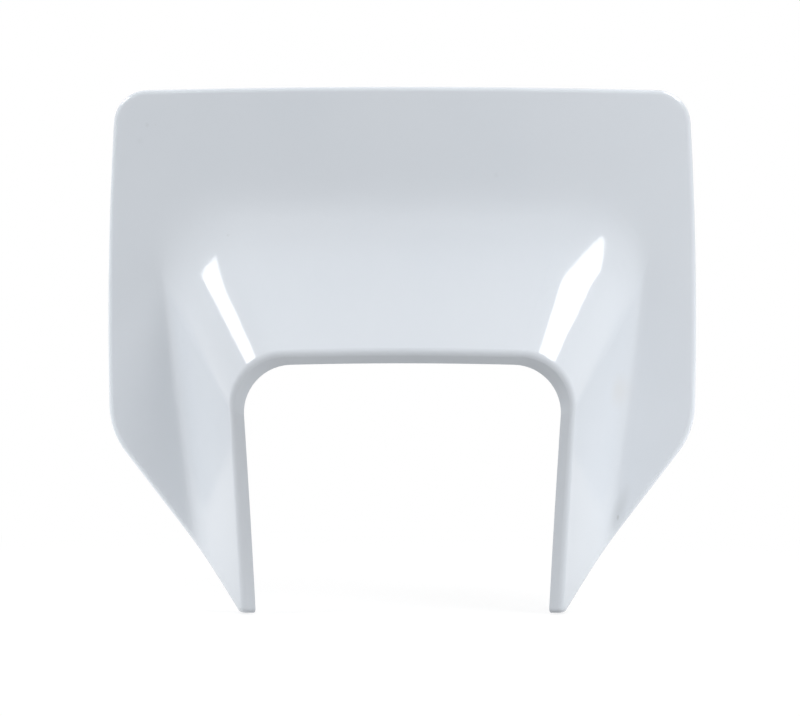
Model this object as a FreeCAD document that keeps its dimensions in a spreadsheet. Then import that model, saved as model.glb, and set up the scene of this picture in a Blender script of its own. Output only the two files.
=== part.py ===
import FreeCAD, Part
import math
import os

import Sketcher
from FreeCAD import Vector

# Headlight number plate of an off-road motorbike: one moulded shell. A flat plate bends forward into a
# hood round a U-shaped headlight opening that is open below, and four screw bosses stand on the rear.
# Frame: X to the right seen from the front, Z up, the front faces -Y. The origin is the centre of the
# screw pattern, on the plane of the boss ends. Lengths in millimetres, angles in degrees.

SIZES = [
    ("wall", 4.6, "wall of the moulding"),
    ("plate_width", 220.0, "widest part of the plate"),
    ("widest_drop", 21.0, "widest part below the origin"),
    ("side_bow_radius", 1290.0, "bow of the two sides"),
    ("top_crown_radius", 3680.0, "crown of the top edge"),
    ("top_corner_radius", 12.7, "upper corners of the plate"),
    ("shoulder_below_screw", 15.0, "meeting of side and slanting edge below the lower screws"),
    ("shoulder_radius", 30.0, "round between side and slanting edge"),
    ("top_to_lip", 100.3, "top edge to the lip corner"),
    ("lip_half_width", 62.6, "lip corner from the middle"),
    ("lip_radius", 19.8, "round of the lip corner"),
    ("opening_radius", 17.1, "round of the opening corner, inside the lip"),
    ("lip_leg_taper", 2.75, "lip legs lean inward going down"),
    ("lip_lean", 17.0, "lean of the lip against the plate at its top"),
    ("tip_lean", 1.5, "lean of the lip against the plate at the feet of its legs"),
    ("lip_bow", 8.0, "lean of the lip against the plate from its corners to the middle of its top"),
    ("lip_face_top", 4.1, "width of the lip face at the top, seen from the front"),
    ("lip_face_side", 5.0, "width of the lip face at the legs, seen from the front"),
    ("lip_edge_radius", 1.8, "round of the outer edge of the lip"),
    ("leg_length", 94.0, "lip corner down to the leg tips"),
    ("tip_overhang", 1.0, "leg tip outside the lip edge"),
    ("tip_radius", 2.0, "round of a leg tip"),
    ("hood_depth", 47.0, "lip corner in front of the plate"),
    ("hood_top_run", 46.5, "hood wall above the lip, seen from the front"),
    ("hood_side_run", 21.0, "hood wall beside the lip, seen from the front"),
    ("fold_radius", 27.0, "round of the fold between plate and hood"),
    ("fold_leg_taper", 6.8, "fold legs lean inward going down"),
    ("contour_crown", 1.5, "rise of lip and fold toward the middle"),
    ("bend_share", 0.5, "share of the hood wall taken by the bend"),
    ("bend_top", 26.0, "bend on the plate above the fold"),
    ("bend_side", 9.0, "bend on the plate beside the fold"),
    ("front_rim_radius", 2.1, "round of the front rim"),
    ("rear_rim_radius", 0.8, "round of the rear rim"),
    ("screw_spacing_up", 96.0, "upright spacing of the screws"),
    ("screw_below_top", 18.0, "upper screws below the top edge"),
    ("screw_inset", 10.0, "screws inside the widest part of the plate"),
    ("screw_bore", 4.2, "bore of a boss"),
    ("boss_wall", 2.7, "wall round a bore"),
    ("boss_height", 10.0, "boss behind the plate"),
    ("boss_root_radius", 1.0, "round at the foot of a boss"),
    ("bore_floor", 2.0, "wall left between bore and plate front"),
    ("blank_margin", 15.0, "blank outside the finished outline"),
]

doc = FreeCAD.newDocument("headlight_number_plate")
sheet = doc.addObject("Spreadsheet::Sheet", "Sizes")
for row, (alias, number, meaning) in enumerate(SIZES, start=1):
    sheet.set(f"A{row}", alias)
    sheet.set(f"B{row}", str(number))
    sheet.set(f"C{row}", meaning)
    sheet.setAlias(f"B{row}", alias)
doc.recompute()

# Places that follow from the driving dimensions, as formulas for sketches and features.
HALF_PLATE = "(Sizes.plate_width / 2)"
TOP_HEIGHT = "(Sizes.screw_spacing_up / 2 + Sizes.screw_below_top)"
SHOULDER_DROP = "(Sizes.screw_spacing_up / 2 + Sizes.shoulder_below_screw)"
LIP_DROP = f"(Sizes.top_to_lip - {TOP_HEIGHT})"
TIP_DROP = f"({LIP_DROP} + Sizes.leg_length)"
TIP_HALF = "(Sizes.lip_half_width - Sizes.leg_length * tan(Sizes.lip_leg_taper) + Sizes.tip_overhang)"
SCREW_SIDE = f"({HALF_PLATE} - Sizes.screw_inset)"
SCREW_UP = "(Sizes.screw_spacing_up / 2)"
PLATE_FRONT = "(Sizes.boss_height + Sizes.wall)"
BORE_RADIUS = "(Sizes.screw_bore / 2)"
BOSS_RADIUS = f"({BORE_RADIUS} + Sizes.boss_wall)"


def value(formula):
    """Number that a formula of the sheet gives."""
    return float(sheet.evalExpression(formula))


def size(alias):
    """Number in one cell of the sheet."""
    return value(f"Sizes.{alias}")


def tangent(alias):
    """Tangent of an angle of the sheet."""
    return math.tan(math.radians(size(alias)))


# Free-form blank: hood, bend and plate with their wall, larger than the finished outline.

FOOT_Z = -value(TIP_DROP) - size("blank_margin")
FRONT_Y = -value(PLATE_FRONT)
REAR_Y = FRONT_Y + size("wall")
SNUG = 1e-6


def contour(half_width, height, radius, taper, y, lean=0.0, foot_lean=0.0, bow=0.0):
    """Poles of one U-shaped contour, from the left foot to the right foot.

    A leg, a rounded corner and a crowned top, mirrored: five stretches of three poles each, and
    neighbours share a pole. The corners lie at y, and from there the contour leans to the rear: down
    the legs by one slope at the corners and by another at the feet, and along the top by its bow.
    """
    corner = Vector(-half_width, 0, height)
    foot = Vector(-half_width + (height - FOOT_Z) * taper, 0, FOOT_Z)
    middle = Vector(0, 0, height + half_width * tangent("contour_crown"))
    down = (foot - corner).normalize()
    across = (middle - corner).normalize()
    reach = radius / math.tan(down.getAngle(across) / 2)
    leg_end = corner + down * reach
    top_end = corner + across * reach
    knee = (foot + leg_end) / 2
    left = [foot, knee, leg_end, corner, top_end]
    right = [Vector(-p.x, 0, p.z) for p in reversed(left)]
    poles = left + [middle] + right
    for pole in poles:
        turn = min(max(pole.z, knee.z), height)
        pole.y = y + (height - turn) * lean + max(knee.z - pole.z, 0) * foot_lean
        if pole.z >= height:
            pole.y += (half_width - abs(pole.x)) * bow
    return poles


def blend(first, second, share):
    """Contour a share of the way from one contour to another."""
    return [a + (b - a) * share for a, b in zip(first, second)]


def toward(first, second, distance):
    """Contour a distance away from one contour, in the direction of another."""
    return [a + (b - a).normalize() * distance for a, b in zip(first, second)]


def skin(lip, fold, bend_end, bend_share):
    """Rows of poles from the lip down the hood wall and round the bend to the plate."""
    return [
        lip,
        blend(fold, lip, (1 + bend_share) / 2),
        blend(fold, lip, bend_share),
        blend(fold, lip, bend_share / 3),
        blend(fold, bend_end, 1 / 3),
        blend(fold, bend_end, 2 / 3),
        bend_end,
    ]


def spline_face(rows, weights, degree):
    """Face over rows of three poles, conic along a row and of the given degree across the rows."""
    spans = len(rows) - degree
    surface = Part.BSplineSurface()
    surface.buildFromPolesMultsKnots(
        rows,
        [degree + 1] + [1] * (spans - 1) + [degree + 1],
        [3, 3],
        [float(knot) for knot in range(spans + 1)],
        [0.0, 1.0],
        False,
        False,
        degree,
        2,
        weights,
    )
    return surface.toShape()


def corner_weight(poles):
    """Weight that makes a corner of a contour a circular arc."""
    _, _, leg_end, corner, top_end = poles[:5]
    return math.sin((leg_end - corner).getAngle(top_end - corner) / 2)


def lip_edges(top_slope, side_slope):
    """Outer and inner edge of the lip, the inner one a wall away, square to the hood walls."""
    wall = size("wall")
    half_width = size("lip_half_width")
    height = -value(LIP_DROP)
    y = FRONT_Y - size("hood_depth")
    taper = tangent("lip_leg_taper")
    lean = tangent("lip_lean")
    foot_lean = tangent("tip_lean")
    bow = tangent("lip_bow")
    outer_round = size("lip_radius")
    inner_round = size("opening_radius")
    outer = contour(half_width, height, outer_round, taper, y, lean, foot_lean, bow)

    top_face = size("lip_face_top")
    side_face = size("lip_face_side")
    top_back = (wall - top_face * math.sin(top_slope)) / math.cos(top_slope)
    side_back = (wall - side_face * math.sin(side_slope)) / math.cos(side_slope)

    # The lip face keeps the tilt of its top round the corner.
    weight = corner_weight(outer)
    ridge_face = math.hypot(top_face, side_face) - (math.sqrt(2) - 1) * (outer_round - inner_round)
    ridge_back = ridge_face * top_back / top_face - ridge_face * (lean + bow) / math.sqrt(2)
    drop = top_face * lean
    inset = side_face * bow
    top_back -= drop
    side_back -= inset
    corner_back = ((1 + weight) * ridge_back - (top_back + side_back) / 2) / weight
    setbacks = [side_back] * 3 + [corner_back] + [top_back] * 3 + [corner_back] + [side_back] * 3
    inner_y = y + drop + inset
    inner_half = half_width - side_face
    inner = contour(inner_half, height - top_face, inner_round, taper, inner_y, lean, foot_lean, bow)
    return outer, [pole + Vector(0, back, 0) for pole, back in zip(inner, setbacks)]


def hood_rows():
    """Front skin, lip round, lip face and rear skin, each as rows of poles with degree and bulge."""
    wall = size("wall")
    depth = size("hood_depth")
    top_run = size("hood_top_run")
    side_run = size("hood_side_run")
    taper = tangent("fold_leg_taper")
    fold_half = size("lip_half_width") + side_run + top_run * taper
    fold_z = top_run - value(LIP_DROP)
    bend_half = fold_half + size("bend_side")
    bend_z = fold_z + size("bend_top")
    fold_round = size("fold_radius")
    top_slope = math.atan2(depth, top_run)
    side_slope = math.atan2(depth, side_run)

    lip, rear_lip = lip_edges(top_slope, side_slope)
    fold = contour(fold_half, fold_z, fold_round, taper, FRONT_Y)
    bend_end = contour(bend_half, bend_z, fold_round, taper, FRONT_Y)
    front_lip = toward(lip, fold, size("lip_edge_radius"))
    front = skin(front_lip, fold, bend_end, size("bend_share"))

    # The rear skin lies one wall behind the front skin, square to each of the hood walls.
    top_shift = wall * math.tan(top_slope / 2)
    side_shift = wall * math.tan(side_slope / 2)
    rear_round = fold_round - (top_shift + side_shift) / 2
    rear_fold = contour(fold_half - side_shift, fold_z - top_shift, rear_round, taper, REAR_Y)
    rear_end = contour(bend_half, bend_z, fold_round, taper, REAR_Y)
    wall_run = math.hypot(depth, top_run)
    rear_share = (size("bend_share") * wall_run + top_shift) / (wall_run + top_shift)
    rear = skin(rear_lip, rear_fold, rear_end, rear_share)

    face_start = toward(lip, rear_lip, size("lip_edge_radius"))
    strips = [
        (front, 3, 1.0),
        ([front_lip, lip, face_start], 2, math.sqrt(0.5)),
        ([face_start, rear_lip], 1, 1.0),
        (rear, 3, 1.0),
    ]
    return strips, corner_weight(lip)


def lies_in(edge, y):
    """True for an edge in the upright plane at y."""
    return all(abs(vertex.Y - y) < SNUG for vertex in edge.Vertexes) and abs(edge.CenterOfMass.y - y) < SNUG


def edges_on(faces, y):
    """Edges of the faces that lie in the upright plane at y."""
    return [edge for face in faces for edge in face.Edges if lies_in(edge, y)]


def wire_face(edges):
    return Part.Face(Part.Wire(Part.sortEdges(edges)[0]))


def blank_solid():
    """The closed blank, sewn from the hood strips, the plate and the faces round its border."""
    strips, arc_weight = hood_rows()
    hood = []
    for stretch, middle_weight in enumerate([1.0, arc_weight, 1.0, arc_weight, 1.0]):
        picked = slice(2 * stretch, 2 * stretch + 3)
        for rows, degree, bulge in strips:
            across = [1.0] * len(rows)
            across[1] = bulge
            weights = [[share, share * middle_weight, share] for share in across]
            hood.append(spline_face([row[picked] for row in rows], weights, degree))

    front_end = strips[0][0][-1]
    rear_end = strips[-1][0][-1]
    margin = size("blank_margin")
    side = max(value(HALF_PLATE), front_end[-2].x) + margin
    top = max(value(TOP_HEIGHT), front_end[5].z) + margin
    border = [
        front_end[0],
        Vector(-side, FRONT_Y, FOOT_Z),
        Vector(-side, FRONT_Y, top),
        Vector(side, FRONT_Y, top),
        Vector(side, FRONT_Y, FOOT_Z),
        front_end[-1],
    ]
    through = Vector(0, size("wall"), 0)
    front_lines = [Part.makeLine(a, b) for a, b in zip(border, border[1:])]
    rear_lines = [Part.makeLine(a + through, b + through) for a, b in zip(border, border[1:])]
    plate = [line.extrude(through) for line in front_lines]
    plate.append(wire_face(front_lines + edges_on(hood, FRONT_Y)))
    plate.append(wire_face(rear_lines + edges_on(hood, REAR_Y)))

    feet = []
    foot_edges = [e for face in hood for e in face.Edges if e.BoundBox.ZMax < FOOT_Z + SNUG]
    for end, sign in ((0, -1), (-1, 1)):
        edges = [e for e in foot_edges if e.CenterOfMass.x * sign > 0]
        feet.append(wire_face(edges + [Part.makeLine(front_end[end], rear_end[end])]))

    shell = Part.makeCompound(hood + plate + feet)
    shell.sewShape()
    solid = Part.Solid(shell.Shells[0])
    if solid.Volume < 0:
        solid.reverse()
    return solid


blank = doc.addObject("Part::Feature", "moulding_blank")
blank.Shape = blank_solid()

# Outline of the moulding: a prism along Y that trims the blank.

START, END, CENTRE = range(1, 4)
HORIZONTAL_AXIS, VERTICAL_AXIS = range(-1, -3, -1)
ORIGIN = (HORIZONTAL_AXIS, START)


def add_sketch(body, name):
    """Sketch on the upright plane of a body, seen from the front."""
    sketch = body.newObject("Sketcher::SketchObject", name)
    plane = next(f for f in body.Origin.OriginFeatures if f.Role == "XZ_Plane")
    sketch.AttachmentSupport = [(plane, "")]
    sketch.MapMode = "FlatFace"
    return sketch


def bind(sketch, kind, places, formula):
    """Dimension of a sketch, held by a formula."""
    number = sketch.addConstraint(Sketcher.Constraint(kind, *places, value(formula)))
    sketch.setExpression(f"Constraints[{number}]", formula)


def flat(point):
    return Vector(point[0], point[1], 0)


def mirrored(point):
    return (-point[0], point[1])


def line(first, last):
    return Part.LineSegment(flat(first), flat(last))


def arc(centre, radius, first, last):
    """Arc that runs anticlockwise from one point to another."""
    begin = math.atan2(first[1] - centre[1], first[0] - centre[0])
    finish = math.atan2(last[1] - centre[1], last[0] - centre[0])
    if finish < begin:
        finish += 2 * math.pi
    return Part.ArcOfCircle(Part.Circle(flat(centre), Vector(0, 0, 1), radius), begin, finish)


def meet(first, first_reach, second, second_reach):
    """Upper right point at given distances from two centres."""
    gap = math.dist(first, second)
    way = ((second[0] - first[0]) / gap, (second[1] - first[1]) / gap)
    along = (gap ** 2 + first_reach ** 2 - second_reach ** 2) / (2 * gap)
    off = math.sqrt(first_reach ** 2 - along ** 2)
    base = (first[0] + along * way[0], first[1] + along * way[1])
    both = [(base[0] - off * way[1] * turn, base[1] + off * way[0] * turn) for turn in (-1, 1)]
    return max(both, key=sum)


def on_circle(centre, radius, through):
    """Point of a circle in the direction of another point."""
    share = radius / math.dist(centre, through)
    return tuple(c + (t - c) * share for c, t in zip(centre, through))


def draw_outline(sketch):
    """Crowned top, rounded upper corners, bowed sides, slanting lower edges and the line of the tips."""
    bow = size("side_bow_radius")
    crown = size("top_crown_radius")
    corner_round = size("top_corner_radius")
    side_centre = (value(HALF_PLATE) - bow, -size("widest_drop"))
    top_centre = (0.0, value(TOP_HEIGHT) - crown)
    corner_centre = meet(top_centre, crown - corner_round, side_centre, bow - corner_round)
    top_end = on_circle(top_centre, crown, corner_centre)
    side_end = on_circle(side_centre, bow, corner_centre)
    shoulder_z = -value(SHOULDER_DROP)
    shoulder_rise = shoulder_z - side_centre[1]
    shoulder = (side_centre[0] + math.sqrt(bow ** 2 - shoulder_rise ** 2), shoulder_z)
    tip = (value(TIP_HALF), -value(TIP_DROP))
    pieces = sketch.addGeometry(
        [
            arc(top_centre, crown, top_end, mirrored(top_end)),
            arc(mirrored(corner_centre), corner_round, mirrored(top_end), mirrored(side_end)),
            arc(mirrored(side_centre), bow, mirrored(side_end), mirrored(shoulder)),
            line(mirrored(shoulder), mirrored(tip)),
            line(mirrored(tip), tip),
            line(tip, shoulder),
            arc(side_centre, bow, shoulder, side_end),
            arc(corner_centre, corner_round, side_end, top_end),
        ]
    )
    top, left_corner, left_side, left_slant, bottom, right_slant, right_side, right_corner = pieces
    sharp = [left_side, left_slant, bottom, right_slant]
    for piece, following in zip(pieces, pieces[1:] + pieces[:1]):
        joint = "Coincident" if piece in sharp else "Tangent"
        sketch.addConstraint(Sketcher.Constraint(joint, piece, END, following, START))
    for constraint in (
        ("PointOnObject", top, CENTRE, VERTICAL_AXIS),
        ("Equal", left_corner, right_corner),
        ("Equal", left_side, right_side),
        ("Symmetric", left_side, CENTRE, right_side, CENTRE, VERTICAL_AXIS),
        ("Horizontal", left_side, END, right_side, START),
        ("Symmetric", bottom, START, bottom, END, VERTICAL_AXIS),
    ):
        sketch.addConstraint(Sketcher.Constraint(*constraint))
    bind(sketch, "Radius", (top,), "Sizes.top_crown_radius")
    bind(sketch, "DistanceY", (top, CENTRE, *ORIGIN), f"Sizes.top_crown_radius - {TOP_HEIGHT}")
    bind(sketch, "Radius", (right_corner,), "Sizes.top_corner_radius")
    bind(sketch, "Radius", (right_side,), "Sizes.side_bow_radius")
    bind(sketch, "DistanceX", (right_side, CENTRE, *ORIGIN), f"Sizes.side_bow_radius - {HALF_PLATE}")
    bind(sketch, "DistanceY", (right_side, CENTRE, *ORIGIN), "Sizes.widest_drop")
    bind(sketch, "DistanceY", (right_side, START, *ORIGIN), SHOULDER_DROP)
    bind(sketch, "DistanceX", (*ORIGIN, bottom, END), TIP_HALF)
    bind(sketch, "DistanceY", (bottom, END, *ORIGIN), TIP_DROP)


def round_edges(body, name, alias, is_picked):
    """Fillet on the edges of a body's tip that pass a test."""
    base = body.Tip
    edges = [f"Edge{n}" for n, edge in enumerate(base.Shape.Edges, start=1) if is_picked(base.Shape, edge)]
    fillet = body.newObject("PartDesign::Fillet", name)
    fillet.Base = (base, edges)
    fillet.setExpression("Radius", f"Sizes.{alias}")
    doc.recompute()


def upright_edge_at(height):
    """Test for the edges along Y at a height of the outline."""

    def is_picked(solid, edge):
        box = edge.BoundBox
        return box.YLength > box.ZLength and abs(edge.CenterOfMass.z - height) < SNUG

    return is_picked


def is_rear_rim(solid, edge):
    """Test for the edges in the plane of the plate's rear."""
    return lies_in(edge, REAR_Y)


outline = doc.addObject("PartDesign::Body", "outline")
outline_sketch = add_sketch(outline, "outline_sketch")
outline_sketch.setExpression("AttachmentOffset.Base.z", "Sizes.boss_height")
draw_outline(outline_sketch)
prism = outline.newObject("PartDesign::Pad", "outline_prism")
prism.Profile = outline_sketch
prism.setExpression("Length", "Sizes.wall + Sizes.hood_depth + Sizes.blank_margin")
doc.recompute()
round_edges(outline, "shoulders", "shoulder_radius", upright_edge_at(-value(SHOULDER_DROP)))
round_edges(outline, "leg_tips", "tip_radius", upright_edge_at(-value(TIP_DROP)))
round_edges(outline, "rear_rim", "rear_rim_radius", is_rear_rim)

trimmed = doc.addObject("Part::Common", "trimmed")
trimmed.Base = blank
trimmed.Tool = outline
doc.recompute()

# The finished shell: rounded rims, then the screw bosses on the rear.

SAMPLES = (0.2, 0.5, 0.8)
SQUARE_TILT = 1e-4
CLEAR_TILT = 0.1


def is_upright(face):
    """True for a face cut by the outline, square to the plate all over."""
    u_min, u_max, v_min, v_max = face.ParameterRange
    spots = [(u_min + (u_max - u_min) * u, v_min + (v_max - v_min) * v) for u in SAMPLES for v in SAMPLES]
    return all(abs(face.normalAt(*spot).y) < SQUARE_TILT for spot in spots)


def is_front_rim(solid, edge):
    """Test for the edges where the outline cut meets the front skin."""
    skins = [face for face in solid.ancestorsOfType(edge, Part.Face) if not is_upright(face)]
    if len(skins) != 1:
        return False
    middle = edge.valueAt((edge.FirstParameter + edge.LastParameter) / 2)
    return skins[0].normalAt(*skins[0].Surface.parameter(middle)).y < -CLEAR_TILT


def is_boss_root(solid, edge):
    """Test for the circles where the bosses leave the plate."""
    radius = value(BOSS_RADIUS)
    is_round = isinstance(edge.Curve, Part.Circle) and abs(edge.Curve.Radius - radius) < SNUG
    return is_round and abs(edge.CenterOfMass.y - REAR_Y) < SNUG


def draw_screws(sketch, radius):
    """Four circles on the screw pattern."""
    for right in (False, True):
        for upper in (False, True):
            place = Vector(value(SCREW_SIDE), value(SCREW_UP), 0)
            place.x *= 1 if right else -1
            place.y *= 1 if upper else -1
            circle = sketch.addGeometry(Part.Circle(place, Vector(0, 0, 1), value(radius)))
            centre = (circle, CENTRE)
            bind(sketch, "Radius", (circle,), radius)
            bind(sketch, "DistanceX", (*ORIGIN, *centre) if right else (*centre, *ORIGIN), SCREW_SIDE)
            bind(sketch, "DistanceY", (*ORIGIN, *centre) if upper else (*centre, *ORIGIN), SCREW_UP)


shell = doc.addObject("PartDesign::Body", "number_plate_shell")
shell.BaseFeature = trimmed
doc.recompute()
round_edges(shell, "front_rim", "front_rim_radius", is_front_rim)

boss_sketch = add_sketch(shell, "boss_sketch")
draw_screws(boss_sketch, BOSS_RADIUS)
bosses = shell.newObject("PartDesign::Pad", "bosses")
bosses.Profile = boss_sketch
bosses.setExpression("Length", "Sizes.boss_height + Sizes.wall / 2")
doc.recompute()
round_edges(shell, "boss_roots", "boss_root_radius", is_boss_root)

bore_sketch = add_sketch(shell, "bore_sketch")
draw_screws(bore_sketch, BORE_RADIUS)
bores = shell.newObject("PartDesign::Pocket", "bores")
bores.Profile = bore_sketch
bores.Reversed = True
bores.setExpression("Length", f"{PLATE_FRONT} - Sizes.bore_floor")
doc.recompute()

for thing in doc.Objects:
    if "Invalid" in thing.State or "Error" in thing.State:
        raise RuntimeError(f"{thing.Name} did not rebuild: {thing.State}")
if shell.Shape.isNull() or not shell.Shape.isValid() or len(shell.Shape.Solids) != 1:
    raise RuntimeError("the shell is not one sound solid")

os.makedirs("parts", exist_ok=True)
shell.Shape.exportStep(f"parts/{shell.Label}.step")
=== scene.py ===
import math

import bpy
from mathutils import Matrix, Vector


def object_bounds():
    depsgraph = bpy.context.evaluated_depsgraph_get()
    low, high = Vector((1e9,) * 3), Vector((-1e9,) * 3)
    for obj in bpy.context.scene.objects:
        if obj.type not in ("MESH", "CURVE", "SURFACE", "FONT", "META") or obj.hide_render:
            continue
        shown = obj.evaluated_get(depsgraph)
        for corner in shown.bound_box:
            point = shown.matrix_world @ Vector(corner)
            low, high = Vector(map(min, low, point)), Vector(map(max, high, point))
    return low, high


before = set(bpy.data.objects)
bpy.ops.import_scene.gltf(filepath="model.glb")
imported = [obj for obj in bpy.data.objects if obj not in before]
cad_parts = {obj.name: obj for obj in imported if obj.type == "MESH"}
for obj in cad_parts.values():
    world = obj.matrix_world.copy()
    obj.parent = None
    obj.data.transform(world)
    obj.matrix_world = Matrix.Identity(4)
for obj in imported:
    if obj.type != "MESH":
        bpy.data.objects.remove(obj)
cad_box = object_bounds()

PLATE = "number_plate_shell"

# Middle of the hood, which the lamps face.
HOOD = Vector((0.0, -0.03, -0.03))

# Camera: level with the hood, square to the plate, about a metre in front of it.
CAMERA_PLACE = (-0.00086, -1.0146, -0.0355)
CAMERA_TILT_DEG = 90.0
CAMERA_LENS_MM = 120.5
CAMERA_SENSOR_MM = 36.0

# Plastic: cool white, the faint flow in it and the colours of the marks on it; the dark grey is the colour
# of the specks and also of the painted shade in the crease by the right slanting edge.
WHITE_PLASTIC = (0.70, 0.74, 0.79, 1.0)
FLOW_PLASTIC = (0.685, 0.728, 0.780, 1.0)
STAIN = (0.68, 0.69, 0.70, 1.0)
GRIME_AND_CREASE_SHADE = (0.33, 0.35, 0.35, 1.0)
IOR_PLASTIC = 1.5

# Noise in the plastic: scale, detail, lowest and highest value.
FLOW_NOISE = (22.0, 3.0, 0.0, 1.0)
ROUGHNESS_NOISE = (45.0, 2.0, 0.09, 0.12)
RIPPLE_NOISE = (70.0, 1.0, 0.0, 1.0)
RIPPLE_STRENGTH = 0.05
RIPPLE_HEIGHT = 0.0003

# Values between which most of a noise texture lies.
NOISE_LOW = 0.3
NOISE_HIGH = 0.7

# Colour sockets of a Mix node.
MIX_UNDER = 6
MIX_OVER = 7
MIX_RESULT = 2

# Round marks on the front: place and radius in metres, and share of the colour.
STAIN_MARK = ((0.0815, -0.0200, -0.0480), 0.0090, 0.6)
GRIME_MARKS = [
    ((-0.0953, -0.0146, 0.0515), 0.0013, 0.12),
    ((-0.0922, -0.0146, 0.0516), 0.0007, 0.07),
    ((-0.0980, -0.0146, 0.0455), 0.0018, 0.06),
    ((-0.0648, -0.0199, 0.0102), 0.0009, 0.14),
    ((0.0371, -0.0178, 0.0159), 0.0006, 0.16),
    ((0.0350, -0.0146, 0.0328), 0.0014, 0.07),
]

# Painted shade in the crease by the right slanting edge, a thin dark streak and a broad soft band: middle,
# half width, half length, tilt in degrees and share.
PAINTED_CREASE_SHADE = [
    ((0.0805, -0.0150, -0.0950), 0.0009, 0.0022, 8.0, 0.55),
    ((0.0808, -0.0150, -0.0925), 0.0034, 0.0130, 20.0, 0.22),
]

# Directions of the two softboxes from the hood: elevation in degrees and side.
LEFT = (46.5, -1)
RIGHT = (54.5, 1)

# Strip softboxes along the Y axis: direction, place along the axis, width, length and radiance.
STRIP_DISTANCE = 1.0
STRIPS = {
    "strip_left": (*LEFT, -0.15, 0.30, 0.70, 3.35),
    "strip_right": (*RIGHT, -0.27, 0.52, 0.95, 2.1),
}

# Fronts of the softboxes, as the gloss shows them: direction and corners, which are places along
# the Y axis and heights on the card.
CARD_DISTANCE = 0.98
CARD_RADIANCE = 9.0
CARDS = {
    "card_left": (
        *LEFT,
        [(-0.17, -0.18), (-0.38, 0.16), (-0.12, 0.09), (0.25, 0.10), (0.25, -0.15), (-0.08, -0.15)],
    ),
    "card_right": (
        *RIGHT,
        [
            (-0.82, -0.085),
            (-0.31, 0.11),
            (-0.19, 0.18),
            (-0.13, 0.26),
            (0.25, 0.30),
            (0.25, -0.19),
            (-0.10, -0.19),
            (-0.22, -0.25),
        ],
    ),
}

# Soft fill panels: place, width and height, radiance.
PANELS = {
    "panel_front": ((0.0, -0.80, 0.80), (0.40, 0.40), 5.8),
    "panel_front_right": ((0.50, -0.50, 0.35), (0.35, 0.35), 3.7),
    "panel_left": ((-0.50, -0.10, 0.06), (0.35, 0.35), 2.2),
    "panel_rear_left": ((-0.50, 0.25, 0.06), (0.35, 0.35), 1.2),
    "panel_top": ((0.0, 0.40, 0.80), (0.40, 0.40), 5.2),
    "panel_low_right": ((0.35, -0.20, -0.085), (0.12, 0.08), 7.1),
    "panel_foot_right": ((0.22, 0.02, -0.105), (0.10, 0.04), 4.0),
}

# Floor: gap under the leg tips, half width, and the grey that lights the object.
FLOOR_GAP = 0.0005
FLOOR_HALF = 3.0
FLOOR_GREY = (0.3, 0.3, 0.3, 1.0)

# Light that the floor sends back beside the legs: place, radius and radiance.
FLOOR_GLOWS = [((-0.2, -0.02, 0.0), 0.22, 1.2), ((0.2, -0.02, 0.0), 0.22, 0.74)]

# Shadow on the floor: brightness of a white floor under the lamps, reach and share.
FLOOR_BRIGHTNESS = 0.9
SHADOW_REACH = 0.45
SHADOW_SHARE = 0.3

# Studio: white, the strength at which it renders as white, and the weak even light on surfaces.
WHITE = (1.0, 1.0, 1.0, 1.0)
WHITE_STRENGTH = 1.0
WORLD_LIGHT = 0.2


def add_node(tree, kind, **settings):
    """Shader node with its own properties and the values of its input sockets."""
    node = tree.nodes.new(kind)
    for name, setting in settings.items():
        if hasattr(node, name):
            setattr(node, name, setting)
        else:
            node.inputs[name.replace("_", " ")].default_value = setting
    return node


def new_material(name):
    """Material with an empty node tree."""
    material = bpy.data.materials.new(name)
    material.use_nodes = True
    material.node_tree.nodes.clear()
    return material


def noise(tree, where, scale, detail, low, high):
    """Soft noise over a place, brought to a range."""
    texture = add_node(tree, "ShaderNodeTexNoise", Scale=scale, Detail=detail)
    spread = add_node(
        tree, "ShaderNodeMapRange", From_Min=NOISE_LOW, From_Max=NOISE_HIGH, To_Min=low, To_Max=high
    )
    tree.links.new(where, texture.inputs["Vector"])
    tree.links.new(texture.outputs["Fac"], spread.inputs["Value"])
    return spread.outputs["Result"]


def mark(tree, where, place, radius, share):
    """Share that falls from its full value at a place to nothing at a radius."""
    distance = add_node(tree, "ShaderNodeVectorMath", operation="DISTANCE")
    distance.inputs[1].default_value = place
    fall = add_node(tree, "ShaderNodeMapRange", interpolation_type="SMOOTHSTEP")
    for name, setting in {"From Min": 0.0, "From Max": radius, "To Min": share, "To Max": 0.0}.items():
        fall.inputs[name].default_value = setting
    tree.links.new(where, distance.inputs[0])
    tree.links.new(distance.outputs["Value"], fall.inputs["Value"])
    return fall.outputs["Result"]


def streak(tree, where, middle, half_width, half_length, tilt, share):
    """Mark drawn out along a line that is tilted to the right of upright."""
    local = add_node(tree, "ShaderNodeMapping", vector_type="TEXTURE", Location=middle)
    local.inputs["Rotation"].default_value = (0.0, math.radians(tilt), 0.0)
    local.inputs["Scale"].default_value = (half_width, half_length, half_length)
    tree.links.new(where, local.inputs["Vector"])
    return mark(tree, local.outputs["Vector"], (0.0, 0.0, 0.0), 1.0, share)


def lay_over(tree, share, under, colour):
    """A colour laid over another one by a share."""
    mix = add_node(tree, "ShaderNodeMix", data_type="RGBA")
    tree.links.new(share, mix.inputs["Factor"])
    tree.links.new(under, mix.inputs[MIX_UNDER])
    mix.inputs[MIX_OVER].default_value = colour
    return mix.outputs[MIX_RESULT]


def largest(tree, shares):
    """The largest of several shares."""
    result = shares[0]
    for share in shares[1:]:
        node = add_node(tree, "ShaderNodeMath", operation="MAXIMUM")
        tree.links.new(result, node.inputs[0])
        tree.links.new(share, node.inputs[1])
        result = node.outputs[0]
    return result


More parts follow.
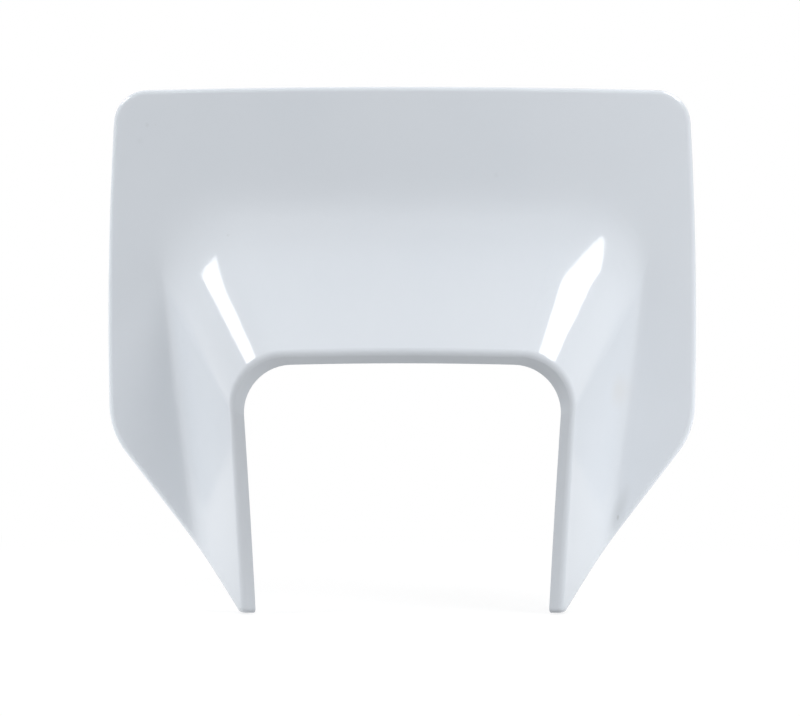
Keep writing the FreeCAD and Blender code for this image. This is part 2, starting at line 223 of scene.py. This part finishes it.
def plastic():
    """Gloss white plastic: cool white, with faint mould flow, a fine ripple, light handling marks and
    painted shade in the crease by the right slanting edge.
    """
    material = new_material("gloss_white_plastic")
    tree = material.node_tree
    link = tree.links.new
    output = add_node(tree, "ShaderNodeOutputMaterial")
    shader = add_node(tree, "ShaderNodeBsdfPrincipled", IOR=IOR_PLASTIC)
    where = add_node(tree, "ShaderNodeTexCoord").outputs["Object"]

    flow = add_node(tree, "ShaderNodeMix", data_type="RGBA")
    flow.inputs[MIX_UNDER].default_value = WHITE_PLASTIC
    flow.inputs[MIX_OVER].default_value = FLOW_PLASTIC
    link(noise(tree, where, *FLOW_NOISE), flow.inputs["Factor"])
    stained = lay_over(tree, mark(tree, where, *STAIN_MARK), flow.outputs[MIX_RESULT], STAIN)
    grime_and_shade = [mark(tree, where, *each) for each in GRIME_MARKS]
    # The streaks are painted shade in the crease by the right slanting edge, laid on in the same dark grey
    # as the specks.
    grime_and_shade += [streak(tree, where, *each) for each in PAINTED_CREASE_SHADE]
    link(lay_over(tree, largest(tree, grime_and_shade), stained, GRIME_AND_CREASE_SHADE), shader.inputs["Base Color"])

    link(noise(tree, where, *ROUGHNESS_NOISE), shader.inputs["Roughness"])

    ripple = add_node(tree, "ShaderNodeBump", Strength=RIPPLE_STRENGTH, Distance=RIPPLE_HEIGHT)
    link(noise(tree, where, *RIPPLE_NOISE), ripple.inputs["Height"])
    link(ripple.outputs["Normal"], shader.inputs["Normal"])
    link(shader.outputs["BSDF"], output.inputs["Surface"])
    return material


def seen_directly(tree):
    """One for camera, reflected and transmitted rays, zero for the light on surfaces."""
    path = add_node(tree, "ShaderNodeLightPath")
    return largest(tree, [path.outputs[f"Is {kind} Ray"] for kind in ("Camera", "Glossy", "Transmission")])


def choose(tree, share, first, second):
    """Shader that is the first of two where a share is zero and the second where it is one."""
    mix = add_node(tree, "ShaderNodeMixShader")
    tree.links.new(share, mix.inputs["Fac"])
    tree.links.new(first.outputs[0], mix.inputs[1])
    tree.links.new(second.outputs[0], mix.inputs[2])
    return mix.outputs[0]


def add_shaders(tree, first, second):
    """Sum of two shaders."""
    total = add_node(tree, "ShaderNodeAddShader")
    tree.links.new(first.outputs[0], total.inputs[0])
    tree.links.new(second.outputs[0], total.inputs[1])
    return total


def white_floor():
    """Floor that is white where it is seen, with the object's shadow near by, and grey to other light."""
    material = new_material("white_floor")
    tree = material.node_tree
    link = tree.links.new
    output = add_node(tree, "ShaderNodeOutputMaterial")
    where = add_node(tree, "ShaderNodeTexCoord").outputs["Object"]
    grey = add_node(tree, "ShaderNodeBsdfDiffuse", Color=FLOOR_GREY)
    glow = add_node(tree, "ShaderNodeEmission", Color=WHITE)
    link(largest(tree, [mark(tree, where, *each) for each in FLOOR_GLOWS]), glow.inputs["Strength"])
    lit = add_shaders(tree, grey, glow)

    shaded = mark(tree, where, (HOOD.x, HOOD.y, 0.0), SHADOW_REACH, SHADOW_SHARE)
    pale = add_node(tree, "ShaderNodeBsdfDiffuse")
    white = add_node(tree, "ShaderNodeEmission", Color=WHITE)
    rest = add_node(tree, "ShaderNodeMath", operation="MULTIPLY_ADD")
    rest.inputs[1].default_value = -FLOOR_BRIGHTNESS
    rest.inputs[2].default_value = WHITE_STRENGTH
    link(shaded, pale.inputs["Color"])
    link(shaded, rest.inputs[0])
    link(rest.outputs[0], white.inputs["Strength"])
    seen = add_shaders(tree, pale, white)
    link(choose(tree, seen_directly(tree), lit, seen), output.inputs["Surface"])
    return material


def bright_card(name):
    """Even glow of a softbox's front."""
    material = new_material(name)
    tree = material.node_tree
    output = add_node(tree, "ShaderNodeOutputMaterial")
    glow = add_node(tree, "ShaderNodeEmission", Color=WHITE, Strength=CARD_RADIANCE)
    tree.links.new(glow.outputs[0], output.inputs["Surface"])
    return material


def add_sheet(name, corners, material):
    """Flat sheet of the studio, which isn't part of the object."""
    mesh = bpy.data.meshes.new(name)
    mesh.from_pydata(corners, [], [range(len(corners))])
    mesh.materials.append(material)
    sheet = bpy.data.objects.new(name, mesh)
    bpy.context.scene.collection.objects.link(sheet)
    return sheet


def add_floor():
    """Pale floor just under the leg tips."""
    corners = [(x * FLOOR_HALF, y * FLOOR_HALF, 0.0) for x, y in ((-1, -1), (1, -1), (1, 1), (-1, 1))]
    floor = add_sheet("floor", corners, white_floor())
    floor.location.z = cad_box[0].z - FLOOR_GAP


def add_world():
    """White where it is seen, a weak even light on surfaces."""
    world = bpy.data.worlds.new("studio")
    bpy.context.scene.world = world
    world.use_nodes = True
    tree = world.node_tree
    tree.nodes.clear()
    output = add_node(tree, "ShaderNodeOutputWorld")
    seen = add_node(tree, "ShaderNodeBackground", Color=WHITE, Strength=WHITE_STRENGTH)
    lit = add_node(tree, "ShaderNodeBackground", Color=WHITE, Strength=WORLD_LIGHT)
    mixed = choose(tree, seen_directly(tree), lit, seen)
    tree.links.new(mixed, output.inputs["Surface"])


def add_lamp(name, place, size, radiance):
    """Area lamp of a given radiance that lights surfaces and shows in nothing."""
    lamp = bpy.data.lights.new(name, "AREA")
    lamp.shape = "RECTANGLE"
    lamp.size, lamp.size_y = size
    lamp.energy = radiance * math.pi * size[0] * size[1]
    holder = bpy.data.objects.new(name, lamp)
    holder.location = place
    holder.visible_camera = False
    holder.visible_glossy = False
    bpy.context.scene.collection.objects.link(holder)
    return holder


def add_panel(name, place, size, radiance):
    """Fill panel that faces the hood."""
    panel = add_lamp(name, place, size, radiance)
    panel.rotation_mode = "QUATERNION"
    panel.rotation_quaternion = (HOOD - panel.location).to_track_quat("-Z", "Y")


def add_strip(name, elevation, side, along, width, length, radiance):
    """Strip softbox along the Y axis, to one side above the hood."""
    rise = math.radians(elevation)
    place = (side * STRIP_DISTANCE * math.cos(rise), along, STRIP_DISTANCE * math.sin(rise) + HOOD.z)
    strip = add_lamp(name, place, (width, length), radiance)
    strip.rotation_euler = (0.0, side * (math.pi / 2 - rise), 0.0)


def add_card(name, elevation, side, corners):
    """Bright card before a strip, which only reflections meet."""
    rise = math.radians(elevation)
    outward = Vector((side * math.cos(rise), 0.0, math.sin(rise)))
    upward = Vector((-side * math.sin(rise), 0.0, math.cos(rise)))
    middle = outward * CARD_DISTANCE + Vector((0.0, 0.0, HOOD.z))
    places = [middle + upward * height + Vector((0.0, along, 0.0)) for along, height in corners]
    card = add_sheet(name, places, bright_card(name))
    card.visible_camera = False
    card.visible_diffuse = False
    card.visible_shadow = False


def add_camera():
    """Camera at the viewing angle of the photograph."""
    camera_data = bpy.data.cameras.new("camera")
    camera_data.lens = CAMERA_LENS_MM
    camera_data.sensor_width = CAMERA_SENSOR_MM
    camera = bpy.data.objects.new("camera", camera_data)
    camera.location = CAMERA_PLACE
    camera.rotation_euler = (math.radians(CAMERA_TILT_DEG), 0.0, 0.0)
    bpy.context.scene.collection.objects.link(camera)
    bpy.context.scene.camera = camera


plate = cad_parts[PLATE]
plate.data.materials.clear()
plate.data.materials.append(plastic())

add_floor()
add_world()
for name, settings in STRIPS.items():
    add_strip(name, *settings)
for name, settings in CARDS.items():
    add_card(name, *settings)
for name, settings in PANELS.items():
    add_panel(name, *settings)
add_camera()
bpy.context.scene.view_settings.view_transform = "Standard"
